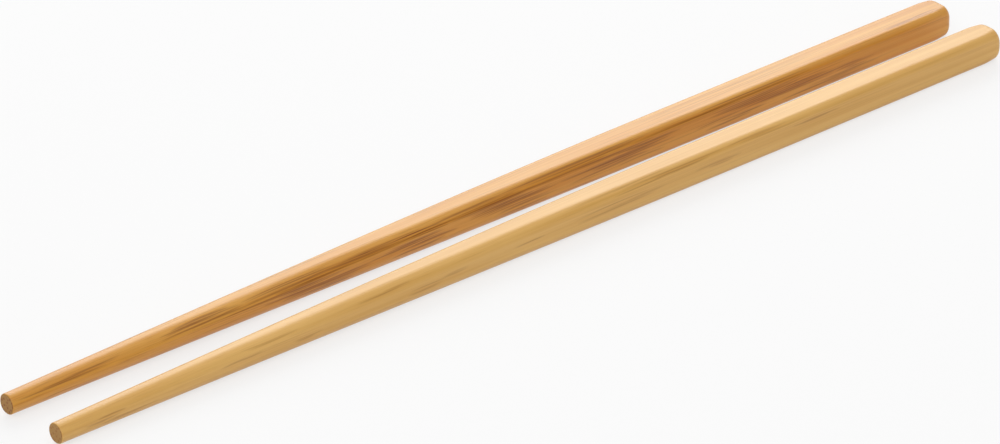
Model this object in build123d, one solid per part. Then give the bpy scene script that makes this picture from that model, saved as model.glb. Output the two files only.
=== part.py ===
"""A pair of wooden chopsticks, lying side by side on a flat surface.

Each chopstick is one turned and sanded stick of bamboo. Its handle is a square
bar with rounded corners and a domed end. Towards the tip it tapers along a full
curve, and its corners grow rounder until the tip is a blunt round pin.

Frame: +X runs from the tips to the handle ends, +Z is up, and the surface that
the sticks lie on is Z = 0. The origin is on that surface, under the middle of
the pair. All lengths are in millimetres.
"""
import os
from math import cos, radians, sin

from build123d import *

# One chopstick
LENGTH = 240.0                   # tip face to the crown of the domed handle end
HANDLE_WIDTH = 6.7               # across the flats of the square handle
TIP_WIDTH = 4.15                 # across the round tip
TAPER_LENGTH = 152.0             # tip to where the handle's full width is reached
TAPER_POWER = 1.8                # 1 is a straight taper, more is a fuller one

DARK_CORNER = 1.25               # radius of the dark handle's long corners
LIGHT_CORNER = 1.6               # the light handle's, sanded rounder
TIP_CORNER_SHARE = 0.96          # radius over half width: 1 would be a true circle
CORNER_LENGTH = 192.0            # tip to where the handle's own corners are reached

DOME_DEPTH = 1.9                 # how far the rounding of the handle end reaches back
DOME_INSET = 2.35                # how far it takes each side in at the crown
END_LENGTH = 5.0                 # the corners grow rounder over this last stretch
END_CORNER_GAIN = 0.9            # and by this much
TIP_EDGE = 0.25                  # radius that breaks the edge of the cut tip face

# The pair as it lies
PITCH = 14.2                     # between the two centrelines
LIGHT_STICK_SHIFT = 0.6          # the light stick lies this much further along +X
DARK_TIP_LIFT = 0.47             # gap under the dark stick's tip, from its slight bend
LIGHT_TIP_LIFT = 0.30            # the same gap under the light stick's tip

# How finely the curved stretches are sectioned
TAPER_SECTIONS = 9
HANDLE_SECTIONS = 4
END_SECTIONS = 5

HANDLE_HALF = HANDLE_WIDTH / 2
TIP_HALF = TIP_WIDTH / 2
DOME_START = LENGTH - DOME_DEPTH


def taper_share(x):
    """How much of the taper is left at x: 1 at the tip, 0 along the handle."""
    return max(0.0, 1 - x / TAPER_LENGTH) ** TAPER_POWER


def half_width(x):
    return HANDLE_HALF - (HANDLE_HALF - TIP_HALF) * taper_share(x)


def ease(start, end, x):
    """0 before start and 1 after end, with no sudden turn between them."""
    along = min(1.0, max(0.0, (x - start) / (end - start)))
    return along * along * (3 - 2 * along)


def corner_radius(x, handle_corner):
    """Nearly the whole half width at the tip, the handle's own radius, then a rounder end."""
    handle_share = handle_corner / HANDLE_HALF
    share = TIP_CORNER_SHARE + (handle_share - TIP_CORNER_SHARE) * ease(0, CORNER_LENGTH, x)
    return half_width(x) * share + END_CORNER_GAIN * ease(LENGTH - END_LENGTH, LENGTH, x)


def section(x, form, inset=0.0):
    """The rounded square across the stick at x, taken in by inset on every side."""
    handle_corner, tip_lift = form
    half = half_width(x) - inset
    # Where an end is taken in, the corners keep their radius as long as it fits.
    corner = min(corner_radius(x, handle_corner), TIP_CORNER_SHARE * half)
    height = tip_lift * taper_share(x) + half_width(x)
    across = Plane(origin=(x, 0, height), x_dir=(0, 1, 0), z_dir=(1, 0, 0))
    return across * RectangleRounded(2 * half, 2 * half, corner)


def spread(start, end, count):
    return [start + (end - start) * i / (count - 1) for i in range(count)]


def tip_end(form):
    """The cut tip face and its broken edge, a quarter of an arc in section."""
    turns = [radians(angle) for angle in spread(0, 90, END_SECTIONS)]
    return loft([
        section(TIP_EDGE * (1 - cos(turn)), form, TIP_EDGE * (1 - sin(turn)))
        for turn in turns
    ])


def tapered_half(form):
    return loft([section(x, form) for x in spread(TIP_EDGE, TAPER_LENGTH, TAPER_SECTIONS)])


def handle(form):
    """The square bar: its corners settle, it runs straight, and its end corners ease."""
    settling = loft([
        section(x, form) for x in spread(TAPER_LENGTH, CORNER_LENGTH, HANDLE_SECTIONS)
    ])
    straight_end = LENGTH - END_LENGTH
    straight = extrude(section(CORNER_LENGTH, form), straight_end - CORNER_LENGTH)
    easing = loft([section(x, form) for x in spread(straight_end, DOME_START, HANDLE_SECTIONS)])
    return settling + straight + easing


def domed_end(form):
    """The handle end, rounded over on all four sides and nearly flat at its crown."""
    turns = [radians(angle) for angle in spread(0, 90, END_SECTIONS)]
    return loft([
        section(DOME_START + DOME_DEPTH * sin(turn), form, DOME_INSET * (1 - cos(turn)))
        for turn in turns
    ])


def chopstick(form):
    """One whole stick. Its form is the handle's corner radius and the gap under its tip."""
    stick = tip_end(form) + tapered_half(form) + handle(form) + domed_end(form)
    return stick.clean()


# The dark stick lies on the +Y side and the light one on the -Y side, and the
# pair is centred over the origin.
tip_x = -(LENGTH + LIGHT_STICK_SHIFT) / 2
sticks = {
    "dark_chopstick": Pos(tip_x, PITCH / 2, 0) * chopstick((DARK_CORNER, DARK_TIP_LIFT)),
    "light_chopstick": (
        Pos(tip_x + LIGHT_STICK_SHIFT, -PITCH / 2, 0) * chopstick((LIGHT_CORNER, LIGHT_TIP_LIFT))
    ),
}

os.makedirs("parts", exist_ok=True)
for node, stick in sticks.items():
    export_step(stick, f"parts/{node}.step")
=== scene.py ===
"""The looks of a pair of bamboo chopsticks, around their CAD frame. Blender units are metres."""
import math

import bpy
import numpy as np
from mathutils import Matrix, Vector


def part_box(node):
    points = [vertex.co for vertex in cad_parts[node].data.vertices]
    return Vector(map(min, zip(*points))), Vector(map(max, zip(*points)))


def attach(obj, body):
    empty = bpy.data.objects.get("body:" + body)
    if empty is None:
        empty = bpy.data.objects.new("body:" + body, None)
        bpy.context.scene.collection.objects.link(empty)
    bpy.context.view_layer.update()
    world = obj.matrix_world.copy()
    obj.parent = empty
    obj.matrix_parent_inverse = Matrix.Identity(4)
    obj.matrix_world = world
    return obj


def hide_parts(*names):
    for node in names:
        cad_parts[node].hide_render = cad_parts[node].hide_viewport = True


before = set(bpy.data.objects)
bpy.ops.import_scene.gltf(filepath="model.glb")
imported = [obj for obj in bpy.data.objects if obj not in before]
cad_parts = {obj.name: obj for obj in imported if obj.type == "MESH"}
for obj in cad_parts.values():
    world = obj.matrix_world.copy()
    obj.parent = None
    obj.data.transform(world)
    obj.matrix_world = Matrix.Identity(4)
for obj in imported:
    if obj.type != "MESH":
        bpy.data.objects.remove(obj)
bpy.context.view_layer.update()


# ---------------------------------------------------------------------------
# The dark chopstick. A square bamboo stick, milled and sanded along its taper
# to a round pin, then steamed brown and oiled. Its fibre bundles run from end
# to end, and show as dark streaks where the taper cuts them, and as dots on
# the sawn tip.
# ---------------------------------------------------------------------------
MM = 0.001
TIP_HALF = 2.075 * MM
TAPER_LENGTH = 152 * MM
TAPER_POWER = 1.8
TIP_CORNER_SHARE = 0.96          # radius over half width: 1 would be a true circle
CORNER_LENGTH = 192 * MM
DOME_DEPTH = 1.9 * MM
DOME_INSET = 2.35 * MM
END_LENGTH = 5 * MM              # the corners grow rounder over this last stretch
END_CORNER_GAIN = 0.9 * MM
TIP_EDGE = 0.25 * MM
AROUND = 240                     # points round a section
RING_STEP = 0.7 * MM             # between sections along the stick
FACE_RINGS = 9                   # from the rim of an end face to its middle
EDGE_RINGS = 7                   # round the broken edge of the tip
DOME_RINGS = 15

SWELL_DEPTH = 0.035 * MM         # how deep sanding by hand has cut, at most
SWELL_COUNT = 9
SWELL_LENGTHS = (14, 70)         # in millimetres, the shortest and the longest
SWELL_LOBES = (1, 6)             # how many times round the stick, the last left out
GROOVE_DEPTH = 0.03 * MM         # of an open fibre
UNDERSIDE = (-0.9, -0.6)         # how far down a point faces, from untouched to fully sanded

# A single line of fibres, as the least and the most of each of its measures
LINE_DRIFT = (-0.22, 0.22)       # along the group, over the group's length
LINE_STRAY = (-0.08, 0.08)       # across the group, in millimetres
LINE_SHARE = (0.45, 0.95)        # its length over the group's
LINE_WIDTH = (0.10, 0.20)        # in millimetres
LINE_LEAN = (-0.008, 0.02)       # sideways over lengthways
LINE_BOW = (-0.25, 0.25)         # in millimetres
LINE_STRENGTH = (0.7, 1.0)       # over the group's
LINE_FADE = 0.7                  # how it fades to its ends: less is more sudden

DARK_CORNER = 1.25 * MM          # radius of the handle's long corners
DARK_TIP_LIFT = 0.47 * MM


def smoothstep(low, high, value):
    t = np.clip((value - low) / (high - low), 0, 1)
    return t * t * (3 - 2 * t)


def taper_share(x):
    return np.clip(1 - x / TAPER_LENGTH, 0, 1) ** TAPER_POWER


def ring_places(length):
    """Each ring's distance from the tip and how far it is taken in, tip face to crown."""
    turns = np.linspace(0, math.pi / 2, EDGE_RINGS)
    tip = [(TIP_EDGE * (1 - math.cos(t)), TIP_EDGE * (1 - math.sin(t))) for t in turns]
    start = length - DOME_DEPTH
    body = [(x, 0.0) for x in np.arange(2 * TIP_EDGE, start, RING_STEP)]
    turns = np.linspace(0, math.pi / 2, DOME_RINGS)
    dome = [(start + DOME_DEPTH * math.sin(t), DOME_INSET * (1 - math.cos(t))) for t in turns]
    return np.array(tip + body + dome).T


def section_reach(half, corner, angle):
    """How far a rounded square reaches from its middle in a direction, an array on arrays."""
    along, across = np.abs(np.cos(angle)), np.abs(np.sin(angle))
    major, minor = np.maximum(along, across), np.minimum(along, across)
    flat = half / major
    core = half - corner
    reach = core * (major + minor)
    arc = reach + np.sqrt(np.maximum(reach ** 2 - 2 * core ** 2 + corner ** 2, 0))
    return np.where(flat * minor <= core, flat, arc)


def ripple(x, angle, rng):
    """The unevenness that sanding by hand leaves, 0 to 1, in long low swells."""
    total = np.zeros(np.broadcast(x, angle).shape)
    for _ in range(SWELL_COUNT):
        length = rng.uniform(*SWELL_LENGTHS) * MM
        lobes = rng.integers(*SWELL_LOBES)
        phase, spin = rng.uniform(0, 2 * math.pi, 2)
        total = total + np.sin(2 * math.pi * x / length + phase) * np.sin(lobes * angle + spin)
    return 0.5 + 0.5 * np.clip(2 * total / SWELL_COUNT, -1, 1)


def streak_lines(groups, rng):
    """Splits each group of fibres into single lines. A group is (middle from the tip in mm,
    angle round the stick in degrees, length in mm, spread in mm, how many lines, strength)."""
    lines = []
    for middle, turn, length, spread, count, strength in groups:
        for i in range(count):
            place = (i + 0.5) / count - 0.5
            lines.append({
                "middle": (middle + length * rng.uniform(*LINE_DRIFT)) * MM,
                "angle": math.radians(turn),
                "across": (place * spread + rng.uniform(*LINE_STRAY)) * MM,
                "half": 0.5 * length * rng.uniform(*LINE_SHARE) * MM,
                "width": rng.uniform(*LINE_WIDTH) * MM,
                "lean": rng.uniform(*LINE_LEAN),
                "bow": rng.uniform(*LINE_BOW) * MM,
                "strength": strength * rng.uniform(*LINE_STRENGTH),
            })
    return lines


def streak_field(x, angle, reach, lines):
    """How strongly the cut fibres show at each point, 0 to 1."""
    field = np.zeros(reach.shape)
    for line in lines:
        along = (x - line["middle"]) / line["half"]
        near = np.abs(along) < 1
        turn = (angle - line["angle"] + math.pi) % (2 * math.pi) - math.pi
        centre = line["across"] + line["lean"] * (x - line["middle"]) + line["bow"] * (1 - along ** 2)
        across = (turn * reach - centre) / line["width"]
        fade = np.clip(1 - along ** 2, 0, 1) ** LINE_FADE
        field = np.maximum(field, near * line["strength"] * fade * np.exp(-across ** 2))
    return field


def face_rings(rim):
    """The rings that close an end face, shrinking from its rim, and its middle point."""
    middle = rim.mean(axis=0)
    shrinks = np.linspace(1, 0, FACE_RINGS + 1)[1:-1]
    return np.stack([middle + (rim - middle) * shrink for shrink in shrinks]), middle


def closed_skin(name, rings, streaks):
    """A smooth piece on rings of points, closed at both ends, with the streaks as a field."""
    tip_face, tip_middle = face_rings(rings[0])
    crown_face, crown_middle = face_rings(rings[-1])
    skin = np.concatenate([tip_face[::-1], rings, crown_face])
    points = np.concatenate([skin.reshape(-1, 3), [tip_middle, crown_middle]])
    count = len(skin)
    here = np.arange(AROUND)
    there = (here + 1) % AROUND
    quads = [
        (r * AROUND + a, (r + 1) * AROUND + a, (r + 1) * AROUND + b, r * AROUND + b)
        for r in range(count - 1) for a, b in zip(here, there)
    ]
    tip_fan = [(count * AROUND, a, b) for a, b in zip(here, there)]
    last = (count - 1) * AROUND
    crown_fan = [(count * AROUND + 1, last + b, last + a) for a, b in zip(here, there)]
    mesh = bpy.data.meshes.new(name)
    mesh.from_pydata(points.tolist(), [], quads + tip_fan + crown_fan)
    mesh.polygons.foreach_set("use_smooth", [True] * len(mesh.polygons))
    field = mesh.attributes.new("streaks", "FLOAT", "POINT")
    face_zero = np.zeros((FACE_RINGS - 1, AROUND))
    values = np.concatenate([face_zero, streaks, face_zero]).ravel()
    field.data.foreach_set("value", np.append(values, [0, 0]).astype(np.float32))
    mesh.update()
    piece = bpy.data.objects.new(name, mesh)
    bpy.context.scene.collection.objects.link(piece)
    return piece


def stick_piece(name, node, handle_corner, tip_lift, groups, seed):
    """The whole stick as one closed skin, with the streaks both cut in and kept as a field."""
    rng = np.random.default_rng(seed)
    low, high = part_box(node)
    length = high.x - low.x
    handle_half = (high.y - low.y) / 2
    x, inset = ring_places(length)
    share = taper_share(x)
    full = handle_half - (handle_half - TIP_HALF) * share
    half = full - inset
    ease = smoothstep(0, CORNER_LENGTH, x)
    corner_share = TIP_CORNER_SHARE + (handle_corner / handle_half - TIP_CORNER_SHARE) * ease
    corner = corner_share * full + END_CORNER_GAIN * smoothstep(length - END_LENGTH, length, x)
    corner = np.minimum(corner, TIP_CORNER_SHARE * half)
    height = tip_lift * share + full

    # Angle 0 faces -Y, and a quarter turn faces up.
    angle = (np.arange(AROUND) + 0.5) * 2 * math.pi / AROUND
    x_grid, angle_grid = x[:, None], angle[None, :]
    reach = section_reach(half[:, None], corner[:, None], angle_grid)
    streaks = streak_field(x_grid, angle_grid, reach, streak_lines(groups, rng))
    # Sanding and open fibres only take wood away, and the underside stays flat.
    swell = SWELL_DEPTH * ripple(x_grid, angle_grid, rng)
    groove = GROOVE_DEPTH * streaks
    under = smoothstep(*UNDERSIDE, np.sin(angle_grid))
    shrink = (swell + groove) * under * (x_grid > 2 * TIP_EDGE)
    reach = reach - shrink
    rings = np.stack([
        np.broadcast_to(x_grid, reach.shape) + low.x,
        (low.y + high.y) / 2 - reach * np.cos(angle_grid),
        height[:, None] + reach * np.sin(angle_grid),
    ], axis=-1)
    return closed_skin(name, rings, streaks)


# A group on the faces where no single one stands out, as in the lists of groups
SCATTER_MIDDLE = (8, 232)
SCATTER_TURN = (130, 310)
SCATTER_LENGTH = (7, 22)
SCATTER_SPREAD = (0.5, 2.2)
SCATTER_LINES = (2, 6)           # the last left out
SCATTER_STRENGTH = (0.4, 1)


def scattered_groups(seed, count, strength):
    """So many groups, spread at random over the back and the underside."""
    rng = np.random.default_rng(seed)
    return [
        (rng.uniform(*SCATTER_MIDDLE), rng.uniform(*SCATTER_TURN), rng.uniform(*SCATTER_LENGTH),
         rng.uniform(*SCATTER_SPREAD), int(rng.integers(*SCATTER_LINES)),
         strength * rng.uniform(*SCATTER_STRENGTH))
        for _ in range(count)
    ]


class Shade:
    """A shader socket. Arithmetic on it adds Math nodes, and node() adds any other node."""

    def __init__(self, tree, socket=None):
        self.tree = tree
        self.socket = socket

    def node(self, kind, settings=None, sockets=None, output=0):
        made = self.tree.nodes.new("ShaderNode" + kind)
        for setting, value in (settings or {}).items():
            setattr(made, setting, value)
        for socket, value in (sockets or {}).items():
            if isinstance(value, Shade):
                self.tree.links.new(value.socket, made.inputs[socket])
            else:
                made.inputs[socket].default_value = value
        return Shade(self.tree, made.outputs[output] if made.outputs else None)

    def math(self, operation, *values, clamp=False):
        settings = {"operation": operation, "use_clamp": clamp}
        return self.node("Math", settings, dict(enumerate(values)))

    def __add__(self, other):
        return self.math("ADD", self, other)

    def __sub__(self, other):
        return self.math("SUBTRACT", self, other)

    def __mul__(self, other):
        return self.math("MULTIPLY", self, other)

    def __rsub__(self, other):
        return self.math("SUBTRACT", other, self)

    __radd__ = __add__
    __rmul__ = __mul__

    def between(self, low, high):
        """0 below low, 1 above high, eased between them."""
        settings = {"interpolation_type": "SMOOTHSTEP"}
        return self.node("MapRange", settings, {0: self, 1: low, 2: high})

    def mix(self, amount, first, second):
        """The first colour, turned into the second by amount."""
        return self.node("Mix", {"data_type": "RGBA"}, {0: amount, 6: first, 7: second}, output=2)

    def stretched(self, x, y, z):
        """This vector with its three parts scaled."""
        return self.node("VectorMath", {"operation": "MULTIPLY"}, {0: self, 1: (x, y, z)})

    def noise(self, grain, detail=2.0, roughness=0.5):
        """Cloudy noise, 0 to 1. Its grain is how many features a millimetre lie along each axis."""
        sockets = {"Vector": self.stretched(*grain), "Scale": 1.0, "Detail": detail}
        return self.node("TexNoise", {}, sockets | {"Roughness": roughness})

    def cells(self, grain, randomness):
        """The distance to the nearest of scattered points, of such a grain."""
        sockets = {"Vector": self.stretched(*grain), "Scale": 1.0, "Randomness": randomness}
        return self.node("TexVoronoi", {}, sockets)


# Features a millimetre along, across and up the stick, for each scale of its fibres.
GROUND_GRAIN = (0.018, 0.33, 0.33)
BAND_GRAIN = (0.007, 1.3, 1.3)
THREAD_GRAIN = (0.035, 5.5, 5.5)
BUNDLE_GRAIN = (0.010, 1.55, 1.55)
PORE_GRAIN = (0.01, 1.5, 1.5)
THREAD_DARKNESS = 0.35
BUNDLE_DARKNESS = 0.35
STREAK_DARKNESS = 0.95
PORE_DARKNESS = 0.9
END_THREAD_DARKNESS = 0.3
FIBRE_RELIEF = 0.02 * MM
RELIEF_STRENGTH = 0.25
THREAD_ROUGHNESS = 0.12
END_ROUGHNESS = 0.3              # how much rougher the sawn end is than the oiled sides


def bamboo(name, node, pale, deep, fibre, end, fibre_depth, sheen_roughness):
    """Bamboo, as solid fibre bundles in softer ground, so ends show dots and sides show lines."""
    material = bpy.data.materials.new(name)
    material.use_nodes = True
    tree = material.node_tree
    tree.nodes.clear()
    shade = Shade(tree)
    low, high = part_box(node)
    middle = -(low + high) / 2 / MM
    here = shade.node("TexCoord", output="Object")
    here = shade.node("Mapping", {}, {"Vector": here, "Scale": (1 / MM,) * 3, "Location": middle})

    ground = here.noise(GROUND_GRAIN)
    band = here.noise(BAND_GRAIN, detail=3)
    thread = here.noise(THREAD_GRAIN, detail=3, roughness=0.6)
    bundle = 1 - here.cells(BUNDLE_GRAIN, randomness=0.85).between(0.10, 0.42)
    streaks = shade.node("Attribute", {"attribute_name": "streaks"}, output="Fac")

    normal = shade.node("NewGeometry", output="Normal")
    facing_end = shade.math("ABSOLUTE", shade.node("SeparateXYZ", {}, {0: normal}))
    end_grain = facing_end.between(0.55, 0.97)

    depth = (ground * 0.7 + band * 0.6 - 0.15).between(0.25, 0.75)
    tone = shade.mix(depth, (*pale, 1), (*deep, 1))
    threads = thread.between(0.5, 0.72) * THREAD_DARKNESS
    bundles = bundle * band.between(0.45, 0.7) * BUNDLE_DARKNESS
    fibres = (threads + bundles) * fibre_depth
    fibres = shade.math("ADD", fibres, streaks * STREAK_DARKNESS, clamp=True)
    tone = shade.mix(fibres, tone, (*fibre, 1))
    # The sawn end shows the bundles as dark dots, with open pores in the darkest.
    pores = 1 - here.cells(PORE_GRAIN, randomness=1.0).between(0.28, 0.46)
    dots = pores * PORE_DARKNESS + thread.between(0.4, 0.65) * END_THREAD_DARKNESS
    tone = shade.mix(end_grain, tone, shade.mix(dots, (*end, 1), (*fibre, 1)))

    relief = thread * 0.6 + band * 0.4 - streaks * 0.4
    sockets = {"Strength": RELIEF_STRENGTH, "Distance": FIBRE_RELIEF, "Height": relief}
    surface = shade.node("BsdfPrincipled", {}, {
        "Base Color": tone,
        "Roughness": sheen_roughness + thread * THREAD_ROUGHNESS + end_grain * END_ROUGHNESS,
        "Normal": shade.node("Bump", {}, sockets),
        "IOR": 1.5,
        "Specular IOR Level": 0.4,
        "Coat Weight": 0.35,
        "Coat Roughness": 0.4,
    })
    shade.node("OutputMaterial", {}, {"Surface": surface})
    return material


DARK_PALE = (0.74, 0.38, 0.065)
DARK_DEEP = (0.64, 0.27, 0.024)
DARK_FIBRE = (0.25, 0.07, 0.0)
DARK_END = (0.40, 0.20, 0.035)
DARK_GROUPS = [
    (16, 36, 24, 0.6, 3, 0.9),
    (14, -25, 14, 0.8, 2, 0.6),
    (44, 38, 26, 1.3, 5, 0.9),
    (67, 30, 30, 2.2, 7, 0.9),
    (72, 6, 26, 2.6, 7, 1.0),
    (76, -16, 22, 1.6, 4, 0.8),
    (86, 34, 24, 1.4, 5, 0.8),
    (97, 14, 20, 2.9, 7, 1.0),
    (99, -10, 16, 2.2, 5, 0.9),
    (112, 36, 24, 1.4, 5, 0.9),
    (122, 14, 30, 1.9, 6, 1.0),
    (124, -4, 26, 1.9, 5, 0.8),
    (126, -24, 22, 1.6, 4, 0.6),
    (140, 36, 40, 1.3, 5, 0.8),
    (152, 14, 32, 1.9, 6, 1.0),
    (150, -8, 24, 2.2, 6, 0.8),
    (176, 38, 44, 1.0, 4, 0.9),
    (190, 14, 30, 1.9, 6, 1.0),
    (198, 2, 24, 1.6, 5, 0.9),
    (180, -16, 18, 1.3, 4, 0.7),
    (212, -8, 12, 1.6, 5, 0.7),
    (206, -26, 22, 1.0, 4, 0.6),
    (229, 62, 16, 1.0, 4, 0.8),
    (170, 84, 40, 4.8, 6, 0.3),
    (196, 100, 30, 3.2, 5, 0.3),
]

dark_groups = DARK_GROUPS + scattered_groups(seed=11, count=34, strength=0.9)
dark_stick = stick_piece(
    "dark_bamboo_stick", "dark_chopstick", DARK_CORNER, DARK_TIP_LIFT, dark_groups, seed=3,
)
dark_stick.data.materials.append(bamboo(
    "dark_bamboo", "dark_chopstick", DARK_PALE, DARK_DEEP, DARK_FIBRE, DARK_END,
    fibre_depth=1.0, sheen_roughness=0.34,
))
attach(dark_stick, "root")
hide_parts("dark_chopstick")


# ---------------------------------------------------------------------------
# The light chopstick. The same stick in natural pale bamboo, from a part of
# the culm with fewer bundles, so that its streaks are short and sparse. It
# lies a hair further towards the handle ends, and nearly flat.
# ---------------------------------------------------------------------------
LIGHT_CORNER = 1.6 * MM          # sanded rounder than the dark one
LIGHT_TIP_LIFT = 0.30 * MM
LIGHT_PALE = (0.78, 0.46, 0.13)
LIGHT_DEEP = (0.68, 0.36, 0.075)
LIGHT_FIBRE = (0.34, 0.13, 0.015)
LIGHT_END = (0.42, 0.22, 0.045)
LIGHT_GROUPS = [
    (10, 8, 12, 1.0, 3, 0.7),
    (16, -12, 16, 0.5, 2, 0.8),
    (42, 12, 10, 0.6, 2, 0.5),
    (52, 42, 18, 0.5, 2, 0.5),
    (58, -4, 10, 0.6, 2, 0.5),
    (78, 40, 12, 0.4, 2, 0.5),
    (88, -6, 10, 1.0, 3, 0.5),
    (95, 6, 8, 0.6, 3, 0.4),
    (112, 2, 10, 0.5, 2, 0.6),
    (139, 52, 24, 0.5, 2, 0.6),
    (150, 40, 30, 0.7, 3, 0.7),
    (139, 4, 24, 1.2, 4, 0.5),
    (163, 6, 12, 0.8, 3, 0.5),
    (176, 42, 22, 0.6, 3, 0.5),
    (186, 22, 14, 0.4, 2, 0.7),
]

light_groups = LIGHT_GROUPS + scattered_groups(seed=23, count=26, strength=0.6)
light_stick = stick_piece(
    "light_bamboo_stick", "light_chopstick", LIGHT_CORNER, LIGHT_TIP_LIFT, light_groups, seed=8,
)
light_stick.data.materials.append(bamboo(
    "light_bamboo", "light_chopstick", LIGHT_PALE, LIGHT_DEEP, LIGHT_FIBRE, LIGHT_END,
    fibre_depth=0.5, sheen_roughness=0.36,
))
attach(light_stick, "root")
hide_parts("light_chopstick")


# ---------------------------------------------------------------------------
# The floor. A plain flat white sheet that the pair lies on. It looks nearly
# white, and it keeps the faint shadow of the sticks.
# ---------------------------------------------------------------------------
FLOOR_HALF = 4.0
FLOOR_WHITE = (0.86, 0.86, 0.86, 1)
FLOOR_GLOW = 0.7                 # the share of plain white in what the camera sees

corners = [(-1, -1), (1, -1), (1, 1), (-1, 1)]
floor_mesh = bpy.data.meshes.new("floor")
floor_mesh.from_pydata([(x * FLOOR_HALF, y * FLOOR_HALF, 0) for x, y in corners], [], [(0, 1, 2, 3)])
floor = bpy.data.objects.new("floor", floor_mesh)
bpy.context.scene.collection.objects.link(floor)

floor_paint = bpy.data.materials.new("floor_white")
floor_paint.use_nodes = True
floor_paint.node_tree.nodes.clear()
shade = Shade(floor_paint.node_tree)
seen = shade.node("LightPath", output="Is Camera Ray")
seen = shade.math("MAXIMUM", seen, shade.node("LightPath", output="Is Glossy Ray"))
matt = shade.node("BsdfDiffuse", {}, {"Color": FLOOR_WHITE})
glow = shade.node("Emission", {}, {"Color": (1, 1, 1, 1), "Strength": 1.0})
white = shade.node("MixShader", {}, {0: seen * FLOOR_GLOW, 1: matt, 2: glow})
shade.node("OutputMaterial", {}, {"Surface": white})
floor_mesh.materials.append(floor_paint)


# ---------------------------------------------------------------------------
# The light. An even white surround, a wide soft lamp behind the sticks that
# gives their top faces a sheen, and two weaker ones, above and in front.
# ---------------------------------------------------------------------------
SURROUND = 0.5                   # on the sticks and the floor, while the camera sees 1
world = bpy.data.worlds.new("surround")
bpy.context.scene.world = world
world.use_nodes = True
world.node_tree.nodes.clear()
shade = Shade(world.node_tree)
seen = shade.node("LightPath", output="Is Camera Ray")
strength = SURROUND + seen * (1 - SURROUND)
background = shade.node("Background", {}, {"Color": (1, 1, 1, 1), "Strength": strength})
shade.node("OutputWorld", {}, {"Surface": background})


def soft_lamp(name, azimuth, elevation, distance, width, power):
    """A square lamp that faces the middle of the pair."""
    data = bpy.data.lights.new(name, "AREA")
    data.size = width
    data.energy = power
    lamp = bpy.data.objects.new(name, data)
    turn, rise = math.radians(azimuth), math.radians(elevation)
    lamp.location = (
        distance * math.sin(turn) * math.cos(rise),
        -distance * math.cos(turn) * math.cos(rise),
        distance * math.sin(rise),
    )
    lamp.rotation_euler = (math.pi / 2 - rise, 0, turn)
    bpy.context.scene.collection.objects.link(lamp)


soft_lamp("lamp_behind", azimuth=142, elevation=34, distance=1.4, width=1.1, power=12)
soft_lamp("lamp_above", azimuth=-10, elevation=74, distance=1.4, width=1.2, power=3)
soft_lamp("lamp_front", azimuth=-60, elevation=45, distance=1.6, width=1.0, power=5)


# ---------------------------------------------------------------------------
# The camera. A long lens, above and in front of the tips, aimed near the
# middle of the pair.
# ---------------------------------------------------------------------------
CAMERA_AZIMUTH = -40.485
CAMERA_ELEVATION = 29.008
CAMERA_DISTANCE = 1.5002
CAMERA_LENS = 276.49
SENSOR_WIDTH = 36
FARTHEST_SEEN = 20
AIM = (-1.66 * MM, 4.19 * MM, 0.0)

camera_data = bpy.data.cameras.new("camera")
camera_data.lens = CAMERA_LENS
camera_data.sensor_width = SENSOR_WIDTH
camera_data.clip_end = FARTHEST_SEEN
camera = bpy.data.objects.new("camera", camera_data)
turn, rise = math.radians(CAMERA_AZIMUTH), math.radians(CAMERA_ELEVATION)
camera.location = (
    AIM[0] + CAMERA_DISTANCE * math.sin(turn) * math.cos(rise),
    AIM[1] - CAMERA_DISTANCE * math.cos(turn) * math.cos(rise),
    AIM[2] + CAMERA_DISTANCE * math.sin(rise),
)
camera.rotation_euler = (math.pi / 2 - rise, 0, turn)
bpy.context.scene.collection.objects.link(camera)
bpy.context.scene.camera = camera
bpy.context.scene.view_settings.view_transform = "Standard"
